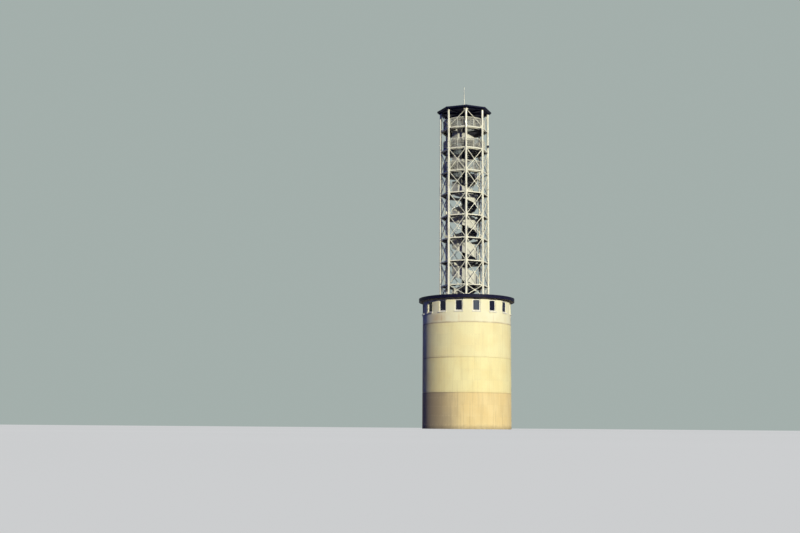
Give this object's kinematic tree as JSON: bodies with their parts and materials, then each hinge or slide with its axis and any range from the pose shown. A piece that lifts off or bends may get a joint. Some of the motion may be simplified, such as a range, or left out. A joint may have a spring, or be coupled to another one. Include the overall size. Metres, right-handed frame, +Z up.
{
  "type": "lookout tower",
  "caption": "Lookout tower: a round concrete drum with a row of windows carries an octagonal steel lattice with a spiral stair, round viewing decks and a low dark roof.",
  "frame": {"origin": "on the ground at the drum's axis, the centre of the tower's foot", "axes": "+Z up, -Y towards the side that the picture shows, +X to its right"},
  "size_m": [10.86, 10.86, 39.735],
  "materials": {
    "concrete": "matt",
    "dark_concrete": "matt",
    "render": "matt",
    "white_paint": "satin",
    "window_glass": "clear",
    "dark_metal": "satin",
    "steel": "satin",
    "floor_steel": "matt",
    "sheet_steel": "matt"
  },
  "bodies": {
    "root": {"drum_floors": "concrete", "drum_wall_lower": "dark_concrete", "drum_wall_middle": "concrete", "drum_wall_upper": "concrete", "window_parapet": "render", "window_piers": "render", "window_lintels": "render", "window_frames": "white_paint", "window_glass": "window_glass", "window_sills": "white_paint", "drum_roof": "concrete", "drum_roof_edge": "dark_metal", "post_feet": "steel", "posts": "steel", "lattice_side_1": "steel", "lattice_side_2": "steel", "lattice_side_3": "steel", "lattice_side_4": "steel", "lattice_side_5": "steel", "lattice_side_6": "steel", "lattice_side_7": "steel", "lattice_side_8": "steel", "lookout_bracing": "steel", "level_spokes": "steel", "level_plates": "floor_steel", "centre_column": "steel", "stair_treads_1": "floor_steel", "stair_treads_2": "floor_steel", "stair_treads_3": "floor_steel", "stair_treads_4": "floor_steel", "stair_rails_1": "sheet_steel", "stair_rails_2": "sheet_steel", "stair_rails_3": "sheet_steel", "stair_rails_4": "sheet_steel", "stair_landings": "floor_steel", "deck_lower": "floor_steel", "deck_middle": "floor_steel", "deck_top": "floor_steel", "deck_lower_rail": "sheet_steel", "deck_middle_rail": "sheet_steel", "deck_top_rail": "sheet_steel", "roof_frame": "dark_metal", "roof_soffit": "dark_metal", "roof_cover": "dark_metal", "mast": "steel", "post_lamp": "dark_metal"}
  },
  "joints": []
}
